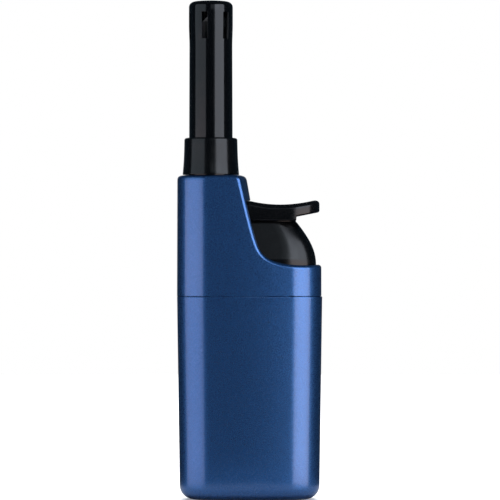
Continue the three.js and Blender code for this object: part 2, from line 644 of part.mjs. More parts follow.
// ---------------------------------------------------------------- assembly
const PIECES = [
  ["tank_body", tankBody, "bluePaint"],
  ["tank_lid", tankLid, "tankPlastic"],
  ["upper_housing", upperHousing, "bluePaint"],
  ["nozzle_collar", nozzleCollar, "blackGloss"],
  ["nozzle_tube", nozzleTube, "blackEnamel"],
  ["nozzle_insert", nozzleInsert, "whitePlastic"],
  ["burner_jet", burnerJet, "blackSteel"],
  ["spark_electrode", sparkElectrode, "steel"],
  ["gas_hose", gasHose, "hose"],
  ["ignition_lead", ignitionLead, "leadJacket"],
  ["thumb_button", thumbButton, "blackGloss"],
  ["gas_lever", gasLever, "aluminium"],
  ["lever_pin", () => crossRod(PIVOT.radius, -3.9, 3.9, PIVOT.x, PIVOT.z), "steel"],
  ["outlet_valve_housing", valveHousing, "brass"],
  ["outlet_valve_seal", valveSeal, "rubber"],
  ["outlet_valve_stem", outletStem, "aluminium"],
  ["outlet_valve_spring", () => spring(NOZZLE_X, 1.5, 0.17, 48.45, 52.45, 5), "springSteel"],
  ["gas_filter", gasFilter, "foam"],
  ["dip_tube", dipTube, "whitePlastic"],
  ["piezo_case", piezoCase, "tankPlastic"],
  ["piezo_plunger", piezoPlunger, "whitePlastic"],
  ["piezo_hammer", piezoHammer, "steel"],
  ["piezo_hammer_spring", () => spring(PIEZO_X, 1.05, 0.18, 55.05, 64.25, 8), "springSteel"],
  ["piezo_return_spring", () => spring(PIEZO_X, 3.3, 0.2, 48.88, 54.12, 3), "springSteel"],
  ["piezo_anvil", piezoAnvil, "brass"],
  ["piezo_crystal", piezoCrystal, "ceramic"],
  ["piezo_contact", piezoContact, "brass"],
  ["refill_valve_body", refillBody, "brass"],
  ["refill_valve_stem", refillStem, "aluminium"],
  ["refill_valve_spring", () => spring(0, 1.45, 0.17, 4.95, 8.65, 5), "springSteel"],
  ["refill_valve_seal", sealRing, "rubber"],
];

const lighter = new THREE.Group();
for (const [name, make, finishName] of PIECES) {
  const mesh = new THREE.Mesh(geometryOf(make()), finish(finishName));
  mesh.name = name;
  lighter.add(mesh);
}

export default lighter;
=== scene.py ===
"""Looks for the butane utility lighter: fine surfaces, procedural materials, studio light, camera.

Shapes are worked out in millimetres in the frame of the CAD model, and scaled to metres as meshes
are made. The outer pieces, the springs and the hose are rebuilt finer than the CAD solids. The
other inner pieces are the CAD nodes with new materials.
"""

import json
import math

import bpy
import numpy as np
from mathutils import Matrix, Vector


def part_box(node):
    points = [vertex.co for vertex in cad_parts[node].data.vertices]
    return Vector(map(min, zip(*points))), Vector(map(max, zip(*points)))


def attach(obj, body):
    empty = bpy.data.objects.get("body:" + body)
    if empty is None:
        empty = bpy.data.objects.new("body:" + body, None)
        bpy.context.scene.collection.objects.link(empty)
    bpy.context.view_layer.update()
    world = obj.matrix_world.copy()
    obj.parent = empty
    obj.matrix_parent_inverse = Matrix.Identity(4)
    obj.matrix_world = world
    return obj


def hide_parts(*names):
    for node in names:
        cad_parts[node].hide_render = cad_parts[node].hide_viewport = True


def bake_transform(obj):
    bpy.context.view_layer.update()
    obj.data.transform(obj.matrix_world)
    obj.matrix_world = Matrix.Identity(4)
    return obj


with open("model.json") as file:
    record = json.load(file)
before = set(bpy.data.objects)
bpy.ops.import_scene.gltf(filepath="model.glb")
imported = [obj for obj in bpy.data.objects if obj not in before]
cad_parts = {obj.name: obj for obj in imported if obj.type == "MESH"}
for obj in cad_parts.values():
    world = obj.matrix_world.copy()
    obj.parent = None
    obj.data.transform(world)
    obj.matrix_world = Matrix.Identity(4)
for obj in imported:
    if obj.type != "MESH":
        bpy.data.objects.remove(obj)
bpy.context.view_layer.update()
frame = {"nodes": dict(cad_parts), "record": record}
MM = 0.001


def span(node, axis):
    """The lowest and highest coordinate of a CAD node along an axis, in millimetres."""
    low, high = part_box(node)
    return low[axis] / MM, high[axis] / MM


def middle(node, axis):
    """The middle of a CAD node along an axis, in millimetres."""
    low, high = span(node, axis)
    return (low + high) / 2


# ------------------------------------------------------------------ sizes, in millimetres
# They come from the frame where it has them. The widths and depths of sections are half sizes.
HEIGHT = span("nozzle_tube", 2)[1]
TANK_TOP = span("tank_body", 2)[1]
HOUSING_FOOT, SHOULDER = span("upper_housing", 2)
BASE_WIDTH, BASE_DEPTH = 16.83, 7.2  # the tank's section at its foot
WAIST_WIDTH, WAIST_DEPTH = span("tank_body", 0)[1], span("tank_body", 1)[1]  # and at the seam
CHEST_FOOT_WIDTH, CHEST_FOOT_DEPTH = 17.44, 7.5  # the housing's section at the seam
CHEST_WIDTH, CHEST_DEPTH = 17.36, 7.4  # and at its shoulder
HOUSING_SHIFT = -0.1  # the housing sits this far off centre, towards the nozzle side
END_SHARE = 0.8  # radius of the section's end arc over the half depth
END_TURN = math.radians(50)  # how far the wall faces away from Y where end and shoulder arcs meet
FACE_TURN = math.radians(5)  # and where shoulder and face arcs meet
WALL = 1.1  # wall of the housing
TANK_WALL = WALL + 0.1

NOZZLE_X = middle("nozzle_tube", 0)
TUBE_TIP = span("nozzle_tube", 1)[1]  # radius round the windows, where the tube swells
TUBE_NECK, TUBE_LOW, TUBE_HIGH, TUBE_BORE = 5.08, 5.27, 5.17, 4.6
NECK_TOP, SWELL_FOOT, SWELL_TOP = 79, 110, 114


# ------------------------------------------------------------------ meshes
SHARP_ANGLE = math.radians(38)  # edges that turn further than this stay sharp


def new_piece(name, points, faces, body, slot, material, replaced=(), normals=None):
    """A mesh piece from points in millimetres, smooth shaded, riding on a CAD body.

    A piece that stretches between two bodies has (lower body, upper body, low point, high point)
    in place of the body's name; such a piece is only baked in place, not attached to a body.
    """
    mesh = bpy.data.meshes.new(name)
    mesh.from_pydata([tuple(MM * c for c in p) for p in points], [], faces)
    mesh.validate()
    mesh.polygons.foreach_set("use_smooth", [True] * len(mesh.polygons))
    if normals is None:
        mesh.set_sharp_from_angle(angle=SHARP_ANGLE)
    else:
        mesh.normals_split_custom_set_from_vertices([tuple(n) for n in normals])
    mesh.materials.append(material)
    piece = bpy.data.objects.new(name, mesh)
    bpy.context.collection.objects.link(piece)
    if replaced:
        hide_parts(*replaced)
    if isinstance(body, str):
        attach(piece, body)
    else:
        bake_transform(piece)
    return piece


def round_edges(piece, width, segments, angle):
    """Rounds the edges that turn further than an angle in degrees by a width in millimetres."""
    bevel = piece.modifiers.new("rounded_edges", "BEVEL")
    bevel.width = width * MM
    bevel.segments = segments
    bevel.limit_method = "ANGLE"
    bevel.angle_limit = math.radians(angle)
    bevel.harden_normals = True


def ring_faces(ring_count, point_count, closed_stack=False):
    """Quads between successive rings, and from the last ring to the first if the stack closes."""
    faces = []
    for k in range(ring_count if closed_stack else ring_count - 1):
        here, there = k * point_count, ((k + 1) % ring_count) * point_count
        for i in range(point_count):
            j = (i + 1) % point_count
            faces.append((here + i, here + j, there + j, there + i))
    return faces


def turned(name, profile, x, y, steps, *rest, **more):
    """A piece turned about a vertical axis from a closed profile of (radius, height)."""
    points = []
    for i in range(steps):
        a = 2 * math.pi * i / steps
        points += [(x + r * math.cos(a), y + r * math.sin(a), z) for r, z in profile]
    return new_piece(name, points, ring_faces(steps, len(profile), True), *rest, **more)


def arc(cx, cz, radius, start, end, steps):
    """Points of a circular arc, angles in degrees, both ends included."""
    angles = [math.radians(start + (end - start) * i / steps) for i in range(steps + 1)]
    return [(cx + radius * math.cos(a), cz + radius * math.sin(a)) for a in angles]


# ------------------------------------------------------------------ the body's level section
def tank_section(z):
    """Half width and half depth of the tank's outer wall at a height."""
    share = z / TANK_TOP
    width = BASE_WIDTH + (WAIST_WIDTH - BASE_WIDTH) * share
    depth = BASE_DEPTH + (WAIST_DEPTH - BASE_DEPTH) * share
    return width, depth


def housing_section(z):
    """Half width and half depth of the housing's outer wall at each height."""
    share = np.clip((z - HOUSING_FOOT) / (SHOULDER - HOUSING_FOOT), 0, 1)
    width = CHEST_FOOT_WIDTH + (CHEST_WIDTH - CHEST_FOOT_WIDTH) * share
    depth = CHEST_FOOT_DEPTH + (CHEST_DEPTH - CHEST_FOOT_DEPTH) * share
    return width, depth


def section_arcs(width, depth):
    """The end arc's radius, the shoulder arc's radius and centre, and the face arc's radius."""
    end = END_SHARE * depth
    slope = math.tan(FACE_TURN / 2)
    face_reach = width - end * (1 - math.sin(END_TURN))
    spare = depth - end * math.cos(END_TURN) - slope * face_reach
    shoulder = spare / (1 - math.cos(END_TURN) - slope * math.sin(END_TURN))
    shoulder_x = width - end + (end - shoulder) * math.sin(END_TURN)
    shoulder_y = (end - shoulder) * math.cos(END_TURN)
    face = shoulder + shoulder_x / math.sin(FACE_TURN)
    return end, shoulder, shoulder_x, shoulder_y, face


def tank_ring(z, inset):
    """The tank's level section moved in by an inset, as a ring of points."""
    width, depth = tank_section(z)
    end, shoulder, shoulder_x, shoulder_y, face = section_arcs(width, depth)
    quarter = math.pi / 2
    end_steps, shoulder_steps, face_steps = 24, 16, 24
    end_stop, face_start = quarter - END_TURN, quarter - FACE_TURN
    face_stop, end_start = quarter + FACE_TURN, quarter + END_TURN
    arcs = [
        (width - end, 0, end, END_TURN - quarter, end_stop, end_steps),
        (shoulder_x, shoulder_y, shoulder, end_stop, face_start, shoulder_steps),
        (0, depth - face, face, face_start, face_stop, face_steps),
        (-shoulder_x, shoulder_y, shoulder, face_stop, end_start, shoulder_steps),
    ]
    points = []
    for side in (1, -1):
        for cx, cy, radius, start, stop, steps in arcs:
            for i in range(steps):
                a = start + (stop - start) * i / steps
                x, y = cx + (radius - inset) * math.cos(a), cy + (radius - inset) * math.sin(a)
                points.append((side * x, side * y, z))
    return points


def housing_distance(p):
    """Signed distance from points to the housing's outer side wall, negative inside."""
    width, depth = housing_section(p[:, 2])
    end, shoulder, shoulder_x, shoulder_y, face = section_arcs(width, depth)
    x, y = np.abs(p[:, 0] - HOUSING_SHIFT), np.abs(p[:, 1])
    end_x, face_y = width - end, depth - face
    to_end = np.hypot(x - end_x, y) - end
    to_shoulder = np.hypot(x - shoulder_x, y - shoulder_y) - shoulder
    to_face = np.hypot(x, y - face_y) - face
    on_end = np.arctan2(x - end_x, y) > END_TURN
    on_face = np.arctan2(x, y - face_y) < FACE_TURN
    return np.where(on_end, to_end, np.where(on_face, to_face, to_shoulder))


# ------------------------------------------------------------------ smooth solids from fields
# A field is a distance in millimetres, negative inside the solid.
SETTLING_PASSES = 4
LEAST_SLOPE = 0.05  # squared slope that a settling step divides by at least


def round_max(a, b, radius):
    """The inside of both fields, with the edge where they meet rounded."""
    low = np.minimum(np.maximum(a, b), -radius)
    outside = np.hypot(np.maximum(a + radius, 0), np.maximum(b + radius, 0))
    return low + outside


def round_min(a, b, radius):
    """The inside of either field, with the crease where they meet filleted."""
    return -round_max(-a, -b, radius)


def gradient(field, p):
    """The slope of a field at each point."""
    step = 0.01
    parts = []
    for axis in range(3):
        shift = np.zeros(3)
        shift[axis] = step
        parts.append((field(p + shift) - field(p - shift)) / (2 * step))
    return np.stack(parts, 1)


def field_mesh(field, low, high, step):
    """Points, quads and normals of the surface where a field is zero, inside a box.

    Each grid cell that the surface crosses has one point, in the middle of the crossings on its
    edges. The points then settle on to the surface along the field's slope.
    """
    axes = [np.arange(low[i], high[i] + step, step) for i in range(3)]
    shape = tuple(len(a) for a in axes)
    value = np.empty(shape)
    across = np.stack(np.meshgrid(axes[1], axes[2], indexing="ij"), -1).reshape(-1, 2)
    for i, x in enumerate(axes[0]):
        points = np.column_stack([np.full(len(across), x), across])
        value[i] = field(points).reshape(shape[1:])
    inside = value < 0
    cells = [n - 1 for n in shape]
    corner_sum = np.zeros(cells, int)
    crossing_sum = np.zeros(cells + [3])
    crossings = np.zeros(cells)
    for dx in (0, 1):
        for dy in (0, 1):
            for dz in (0, 1):
                corners = inside[dx : dx + cells[0], dy : dy + cells[1], dz : dz + cells[2]]
                corner_sum += corners
    mixed = (corner_sum > 0) & (corner_sum < 8)
    number = np.full(cells, -1)
    number[mixed] = np.arange(mixed.sum())
    faces = []
    for axis in range(3):
        one = [slice(None)] * 3
        two = [slice(None)] * 3
        one[axis], two[axis] = slice(0, -1), slice(1, None)
        a, b = value[tuple(one)], value[tuple(two)]
        changes = np.argwhere((a < 0) != (b < 0))
        along = a[tuple(changes.T)] / (a[tuple(changes.T)] - b[tuple(changes.T)])
        place = changes.astype(float)
        place[:, axis] += along
        u, v = [k for k in range(3) if k != axis]
        loop = []
        for du, dv in ((-1, -1), (0, -1), (0, 0), (-1, 0)):
            cell = changes.copy()
            cell[:, u] += du
            cell[:, v] += dv
            loop.append(cell)
            np.add.at(crossing_sum, tuple(cell.T), place)
            np.add.at(crossings, tuple(cell.T), 1)
        quad = np.stack([number[tuple(c.T)] for c in loop], 1)
        grows = (a < 0)[tuple(changes.T)]
        keep_order = grows if axis != 1 else ~grows
        quad[~keep_order] = quad[~keep_order][:, ::-1]
        faces.append(quad)
    points = crossing_sum[mixed] / crossings[mixed][:, None] * step + np.array(low)
    for _ in range(SETTLING_PASSES):
        slope = gradient(field, points)
        size = np.maximum((slope**2).sum(1), LEAST_SLOPE)
        move = field(points)[:, None] * slope / size[:, None]
        points = points - np.clip(move, -step / 2, step / 2)
    normals = gradient(field, points)
    normals /= np.maximum(np.linalg.norm(normals, axis=1), 1e-6)[:, None]
    return points, np.concatenate(faces).tolist(), normals


# ------------------------------------------------------------------ the thumb scoop
def bezier(p0, p1, p2, p3, steps):
    """Points along a cubic curve, both ends included."""
    t = np.linspace(0, 1, steps + 1)[:, None]
    p0, p1, p2, p3 = (np.array(p) for p in (p0, p1, p2, p3))
    return (1 - t) ** 3 * p0 + 3 * (1 - t) ** 2 * t * p1 + 3 * (1 - t) * t**2 * p2 + t**3 * p3


# The scoop's crisp edge in the side view: a steep wall down from the shoulder, then a level run.
SCOOP_CORNER = (2.1, 60.5)
SCOOP_WALL = bezier((-2.98, 79.6), (-1.75, 74.2), (0.8, 63.1), SCOOP_CORNER, 20)
SCOOP_FLOOR = bezier(SCOOP_CORNER, (3.8, 57.1), (7.5, 56.05), (19, 56.0), 20)
SCOOP_EDGE = np.concatenate([SCOOP_WALL, SCOOP_FLOOR[1:]])
CROWN_FOOT, CROWN_GROWTH = 57, 0.057  # the crown rises this much per millimetre above its foot
CROWN_LEAST = 0.53


def curve_distance(x, z, curve):
    """Signed distance in the side view from a curve that falls to the right.

    It is positive above the curve and to its right.
    """
    start, along = curve[:-1], np.diff(curve, axis=0)
    length = np.linalg.norm(along, axis=1)
    best = np.full(len(x), 1e9)
    signed = np.zeros(len(x))
    for (sx, sz), (ax, az), size in zip(start, along, length):
        t = np.clip(((x - sx) * ax + (z - sz) * az) / size**2, 0, 1)
        gap = np.hypot(x - sx - t * ax, z - sz - t * az)
        side = (ax * (z - sz) - az * (x - sx)) / size
        nearer = gap < best
        best = np.where(nearer, gap, best)
        signed = np.where(nearer, np.where(side > 0, gap, -gap), signed)
    return signed


def scoop_distance(p):
    """Positive in the space that the scoop takes out. Its surface is crowned across the body."""
    flat = curve_distance(p[:, 0], p[:, 2], SCOOP_EDGE)
    crown = CROWN_LEAST + CROWN_GROWTH * np.maximum(p[:, 2] - CROWN_FOOT, 0)
    return flat - crown * np.maximum(0, 1 - (p[:, 1] / CHEST_DEPTH) ** 2)


# ------------------------------------------------------------------ tank
BASE_ROUND = 3.3
TANK_RIM = [(0, 0.08), (0.02, 0.03), (0.08, 0), (0.3, 0), (1, 0)]  # depth below the top, inset
TANK_LEVELS = [40, 30, 20, 10, 5]
FLOOR_HEIGHT, FLOOR_INSET = 1.8, 3  # the tank's inner floor
WALL_FOOT = 3.6  # where the floor's slanted corner meets the inner wall
# Radius and height: the recess in the foot, the bore of the refill valve, the boss inside.
REFILL_RECESS = [(4.6, 0), (4.4, 0), (4.4, 0.25), (3.4, 0.9), (3.05, 0.9)]
REFILL_BORE = [(3, 0.95), (3, 9.9), (4.2, 9.9), (4.2, FLOOR_HEIGHT)]


def tank_body(material):
    """The tank's outer skin, refill recess, bore and inner wall as one closed stack of rings."""
    outline = tank_ring(0, 0)
    angles = [math.atan2(y, x) for x, y, _ in outline]

    def circle(radius, z):
        """A ring with a point for each point of the outline."""
        return [(radius * math.cos(a), radius * math.sin(a), z) for a in angles]

    foot_curve = arc(BASE_ROUND, BASE_ROUND, BASE_ROUND, 180, 270, 12)
    rings = [tank_ring(TANK_TOP, TANK_WALL)]
    rings += [tank_ring(TANK_TOP - z_down, inset) for z_down, inset in TANK_RIM]
    rings += [tank_ring(z, 0) for z in TANK_LEVELS]
    rings += [tank_ring(z, inset) for inset, z in foot_curve]
    rings += [circle(radius, z) for radius, z in REFILL_RECESS + REFILL_BORE]
    rings += [tank_ring(FLOOR_HEIGHT, FLOOR_INSET), tank_ring(WALL_FOOT, TANK_WALL)]
    points = [p for ring in rings for p in ring]
    faces = ring_faces(len(rings), len(outline), True)
    return new_piece("tank_shell", points, faces, "casing", "blue_paint", material, ["tank_body"])


# ------------------------------------------------------------------ housing
SHOULDER_ROUND = 1.3
SCOOP_TOP_ROUND = 1.5  # where the shoulder turns down into the scoop
SCOOP_ROUND = 0.75
SEAM_ROUND = 0.06
CEILING = 76.4  # underside of the shoulder
OPENING_TOP = 72  # below this height the scoop is open to the thumb button
OPENING_ROUND = 0.2
SCOOP_WALL_THICKNESS = WALL + 0.05
COLLAR_HOLE, COLLAR_HOLE_ROUND = 5.5, 0.1
HOUSING_GRID, HOUSING_MARGIN = 0.3, 0.5


def housing_field(p):
    """The housing: a rounded block less the scoop, hollow inside, with a hole for the collar."""
    wall, z, scoop = housing_distance(p), p[:, 2], scoop_distance(p)
    block = round_max(wall, z - SHOULDER, SHOULDER_ROUND)
    block = round_max(block, round_max(scoop, z - SHOULDER, SCOOP_TOP_ROUND), SCOOP_ROUND)
    block = round_max(block, HOUSING_FOOT - z, SEAM_ROUND)
    behind_scoop = np.minimum(z - OPENING_TOP, scoop + SCOOP_WALL_THICKNESS)
    cavity = np.maximum(np.maximum(wall + WALL, z - CEILING), behind_scoop)
    collar_hole = np.hypot(p[:, 0] - NOZZLE_X, p[:, 1]) - COLLAR_HOLE
    hollow_block = round_max(block, -cavity, OPENING_ROUND)
    return round_max(hollow_block, -collar_hole, COLLAR_HOLE_ROUND)


def upper_housing(material):
    """The housing's skin, inside and out."""
    reach_x, reach_y = WAIST_WIDTH + HOUSING_MARGIN, WAIST_DEPTH + HOUSING_MARGIN
    low = (-reach_x, -reach_y, HOUSING_FOOT - HOUSING_MARGIN)
    high = (reach_x, reach_y, SHOULDER + HOUSING_MARGIN)
    points, faces, normals = field_mesh(housing_field, low, high, HOUSING_GRID)
    return new_piece(
        "housing_shell", points, faces, "casing", "blue_paint", material, ["upper_housing"], normals
    )


# ------------------------------------------------------------------ nozzle collar
COLLAR_SINK = 0.04  # how far the collar's flange sinks into the shoulder
COLLAR_CLEARANCE = 0.08  # round the tube
FLANGE_RADIUS, FLANGE_ROUND = 6.76, 0.05
COLLAR_TOP_RADIUS, COLLAR_TOP_ROUND = 5.9, 0.5
COLLAR_CHAMFER = 0.1
# Radius and height of the spigot that snaps in under the shoulder.
SPIGOT = [(4.3, 73.6), (5.4, 73.6), (5.4, 75.4), (5.6, 75.6), (5.6, 75.9), (5.4, 76.1)]
SPIGOT_BORE, SPIGOT_RADIUS = SPIGOT[0][0], SPIGOT[1][0]
SPIGOT_LEDGE = 74.5  # the tube stands on it


def nozzle_collar(material):
    """The collar: a spigot, a flared foot on the shoulder, a tapered flank and a bore."""
    foot, top = SHOULDER - COLLAR_SINK, span("nozzle_collar", 2)[1]
    bore, neck_bore = TUBE_LOW + COLLAR_CLEARANCE, TUBE_NECK + COLLAR_CLEARANCE
    flank_top = top - COLLAR_TOP_ROUND
    flank = bezier((6.81, foot + 0.1), (6.7, 80), (6.5, 81), (6.4, flank_top), 12)
    profile = [*SPIGOT, (SPIGOT_RADIUS, foot)]
    profile += arc(FLANGE_RADIUS, foot + FLANGE_ROUND, FLANGE_ROUND, -90, -10, 2)
    profile += [tuple(point) for point in flank]
    profile += arc(COLLAR_TOP_RADIUS, flank_top, COLLAR_TOP_ROUND, 10, 90, 6)
    profile += [(bore + COLLAR_CHAMFER, top), (bore, top - COLLAR_CHAMFER)]
    profile += [(bore, NECK_TOP), (neck_bore, NECK_TOP)]
    profile += [(neck_bore, SPIGOT_LEDGE), (SPIGOT_BORE, SPIGOT_LEDGE)]
    replaced = ["nozzle_collar"]
    return turned(
        "collar", profile, NOZZLE_X, 0, 96, "casing", "black_gloss", material, replaced=replaced
    )


# ------------------------------------------------------------------ nozzle tube
TIP_WALL = 0.5
TIP_ROUND = 1.3
TIP_HOLE = 3.3  # radius of the open mouth
TUBE_EDGE_ROUND = 0.1
NECK_STEP, NECK_RING = 0.3, 0.6  # heights above the neck of the step out and of the ring after it
WINDOW_WIDTH, WINDOW_FOOT, WINDOW_TOP = 1.5, 110.9, 117.2
WINDOW_PITCH = 60
WINDOW_ANGLES = [-16 + WINDOW_PITCH * i for i in range(6)]  # degrees round from the front
WINDOW_STEPS, GAP_STEPS = 4, 10


def window_columns():
    """Angles of the tube's columns in degrees, and whether a window follows each column."""
    half = math.degrees(math.asin(WINDOW_WIDTH / 2 / TUBE_TIP))
    gap = WINDOW_PITCH - 2 * half
    columns, in_window = [], []
    for centre in WINDOW_ANGLES:
        start = centre - 90 - half
        columns += [start + 2 * half * i / WINDOW_STEPS for i in range(WINDOW_STEPS)]
        columns += [start + 2 * half + gap * i / GAP_STEPS for i in range(GAP_STEPS)]
        in_window += [True] * WINDOW_STEPS + [False] * GAP_STEPS
    return columns, in_window


def nozzle_tube(material):
    """The rolled tube: a ring of columns round the axis, with the flame windows left open."""
    bend_x, bend_z = TUBE_TIP - TIP_ROUND, HEIGHT - TIP_ROUND
    foot = span("nozzle_tube", 2)[0]
    swell = (WINDOW_FOOT - SWELL_FOOT) / (SWELL_TOP - SWELL_FOOT)
    window_radius = TUBE_HIGH + (TUBE_TIP - TUBE_HIGH) * swell
    profile = [(TUBE_BORE, foot), (TUBE_NECK, foot), (TUBE_NECK, NECK_TOP)]
    profile += [(TUBE_LOW, NECK_TOP + NECK_STEP), (TUBE_LOW, NECK_TOP + NECK_RING)]
    profile += [(TUBE_HIGH, SWELL_FOOT)]
    outer_foot = len(profile)
    profile += [(window_radius, WINDOW_FOOT), (TUBE_TIP, SWELL_TOP), (TUBE_TIP, WINDOW_TOP)]
    profile += arc(bend_x, bend_z, TIP_ROUND, 0, 90, 8)
    profile += [(TIP_HOLE, HEIGHT), (TIP_HOLE, HEIGHT - TIP_WALL)]
    profile += arc(bend_x, bend_z, TIP_ROUND - TIP_WALL, 90, 0, 8)
    inner_top = len(profile)
    inner = TUBE_TIP - TIP_WALL
    profile += [(inner, WINDOW_TOP), (inner, SWELL_TOP)]
    profile += [(TUBE_BORE + 0.05, WINDOW_FOOT), (TUBE_BORE, SWELL_FOOT)]
    outer_rows = [outer_foot, outer_foot + 1, outer_foot + 2]
    inner_rows = [inner_top, inner_top + 1, inner_top + 2]
    open_rows = outer_rows[:2] + inner_rows[:2]
    jamb = outer_rows + inner_rows

    columns, in_window = window_columns()
    points = []
    for angle in columns:
        c, s = math.cos(math.radians(angle)), math.sin(math.radians(angle))
        points += [(NOZZLE_X + r * c, r * s, z) for r, z in profile]
    size, count = len(profile), len(columns)
    faces = []
    for i in range(count):
        a, b = i * size, (i + 1) % count * size
        for k in range(size):
            after = (k + 1) % size
            if in_window[i] and k in open_rows:
                continue
            faces.append((a + k, b + k, b + after, a + after))
        if in_window[i]:
            faces.append((a + outer_foot, b + outer_foot, b + inner_top + 2, a + inner_top + 2))
            faces.append((a + inner_top, b + inner_top, b + outer_foot + 2, a + outer_foot + 2))
            if not in_window[i - 1]:
                faces.append([a + k for k in reversed(jamb)])
            if not in_window[(i + 1) % count]:
                faces.append([b + k for k in jamb])
    piece = new_piece(
        "tube", points, faces, "casing", "black_enamel", material, replaced=["nozzle_tube"]
    )
    round_edges(piece, TUBE_EDGE_ROUND, 2, 50)
    return piece


# ------------------------------------------------------------------ the thumb button
BUTTON_LEFT = -0.6  # the skirt's hidden side
BUTTON_FOOT = span("thumb_button", 2)[0]
BUTTON_WALL = 1.0
BUTTON_GRID, BUTTON_MARGIN = 0.24, 0.4
HOLLOW_TOP = 65.5

SKIRT_SIDE = bezier((16.05, 56.5), (16.05, 60.2), (14.35, 63.05), (11.3, 66.9), 200)
SKIRT_REACH = 1.5  # length of the skirt's half-ellipse end over its half depth
SKIRT_CORNER_ROUND, SKIRT_TOP_ROUND, SKIRT_FOOT_ROUND = 0.9, 0.5, 0.3
NECK_FILLET, PAD_FILLET = 0.25, 0.35
PAD_TOP_ROUND, PAD_REAR_ROUND, PAD_UNDER_ROUND = 1.25, 0.3, 0.35
SKIRT_TOP = 67.15
SKIRT_HALF_DEPTH, SKIRT_TAPER = 5.7, 0.19  # half depth low down, and its loss per millimetre up
TAPER_FOOT, TAPER_HEIGHT = 57.8, 9.4
NECK_FOOT, NECK_HEAD, NECK_INSET = 60, 69, 0.55  # the neck joins the skirt to the pad

PAD_LEFT = -1.6
PAD_RIGHT = span("thumb_button", 0)[1]
PAD_HALF_DEPTH = 6.1
PAD_END_X = 9.37  # where the pad's flanks start to curve round its free end
PAD_LOW_X, PAD_LOW_Z = 7.4, 71.0  # lowest place of the pad's dished top
PAD_DISH = 0.016
PAD_REAR_RISE = 0.84  # the top rises no further than this towards its hidden end
PAD_UNDER = 67.2
LIP_START = 11.2  # from here the underside climbs towards the free end
LIP_X, LIP_Z, LIP_SLOPE = 11.7, 68.25, 0.19

CAM_HALF_WIDTH = 1.2  # the cam on the hidden side that pushes the gas lever
CAM_FOOT, CAM_TOP = 54.4, 61.4
CAM_FOOT_X, CAM_LEAN = -1.62, 0.269
CAM_TIP_X, CAM_TIP_Z, CAM_CHAMFER = -3.12, 59.9, 1.05
LEAD_NOTCH_X, LEAD_NOTCH_Y, LEAD_NOTCH_TOP = 1.5, 2.2, 55.6  # lets the ignition lead pass
LEAD_NOTCH_HALF_WIDTH = 0.87


def skirt_field(p, inset=0.0):
    """The skirt's wall: level sections with a half-ellipse end, rolled over towards the top."""
    x, y, z = p.T
    right = np.interp(z, SKIRT_SIDE[:, 1], SKIRT_SIDE[:, 0])
    depth = SKIRT_HALF_DEPTH - SKIRT_TAPER * np.clip(z - TAPER_FOOT, 0, TAPER_HEIGHT) - inset
    end_reach = SKIRT_REACH * depth
    past_end = np.maximum(x - (right - inset - end_reach), 0)
    side = (np.hypot(past_end / end_reach, y / depth) - 1) * depth
    return round_max(side, BUTTON_LEFT + inset - x, SKIRT_CORNER_ROUND)


def pad_field(p):
    """The pad: a dished plate with a half-ellipse free end that curves up."""
    x, y, z = p.T
    past_end = np.maximum(x - PAD_END_X, 0) / (PAD_RIGHT - PAD_END_X)
    end = np.hypot(past_end, y / PAD_HALF_DEPTH) - 1
    dish = PAD_DISH * (x - PAD_LOW_X) ** 2
    top = z - PAD_LOW_Z - np.where(x < PAD_LOW_X, np.minimum(dish, PAD_REAR_RISE), dish)
    under = np.where(x > LIP_START, LIP_Z + LIP_SLOPE * (x - LIP_X), PAD_UNDER) - z
    body = round_max(end * PAD_HALF_DEPTH, top, PAD_TOP_ROUND)
    body = round_max(body, PAD_LEFT - x, PAD_REAR_ROUND)
    return round_max(body, under, PAD_UNDER_ROUND)


def cam_field(p):
    """The cam: a thin leaning rib, chamfered over its tip."""
    x, y, z = p.T
    lean = -(x - CAM_FOOT_X + CAM_LEAN * (z - CAM_FOOT))
    cam = np.maximum(np.abs(y) - CAM_HALF_WIDTH, lean)
    cam = np.maximum(cam, z - CAM_TIP_Z - CAM_CHAMFER * (x - CAM_TIP_X))
    return np.maximum(np.maximum(cam, x), np.maximum(z - CAM_TOP, CAM_FOOT - z))


def button_field(p):
    """The button: skirt, neck and pad in one, hollow below, with the cam and the lead's notch."""
    x, y, z = p.T
    skirt = round_max(skirt_field(p), z - SKIRT_TOP, SKIRT_TOP_ROUND)
    skirt = round_max(skirt, BUTTON_FOOT - z, SKIRT_FOOT_ROUND)
    neck = np.maximum(skirt_field(p, NECK_INSET), np.maximum(z - NECK_HEAD, NECK_FOOT - z))
    shape = round_min(round_min(skirt, neck, NECK_FILLET), pad_field(p), PAD_FILLET)
    hollow = np.maximum(skirt_field(p, BUTTON_WALL), z - HOLLOW_TOP)
    notch = np.maximum(x - LEAD_NOTCH_X, np.abs(y - LEAD_NOTCH_Y) - LEAD_NOTCH_HALF_WIDTH)
    notch = np.maximum(notch, z - LEAD_NOTCH_TOP)
    shape = np.minimum(np.maximum(shape, -hollow), cam_field(p))
    return np.maximum(shape, -notch)


def thumb_button(material):
    """The button's skin, inside and out."""
    low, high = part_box("thumb_button")
    low = [c / MM - BUTTON_MARGIN for c in low]
    high = [c / MM + BUTTON_MARGIN for c in high]
    points, faces, normals = field_mesh(button_field, low, high, BUTTON_GRID)
    return new_piece(
        "thumb_slider", points, faces, "button", "black_gloss", material, ["thumb_button"], normals
    )


# ------------------------------------------------------------------ springs and hose
PIEZO_X = middle("piezo_case", 0)
# CAD node, axis, coil radius, wire radius, turns
RETURN_SPRING = ("piezo_return_spring", PIEZO_X, 3.3, 0.2, 3)
HAMMER_SPRING = ("piezo_hammer_spring", PIEZO_X, 1.05, 0.18, 8)
OUTLET_SPRING = ("outlet_valve_spring", NOZZLE_X, 1.5, 0.17, 5)
REFILL_SPRING = ("refill_valve_spring", 0.0, 1.45, 0.17, 5)
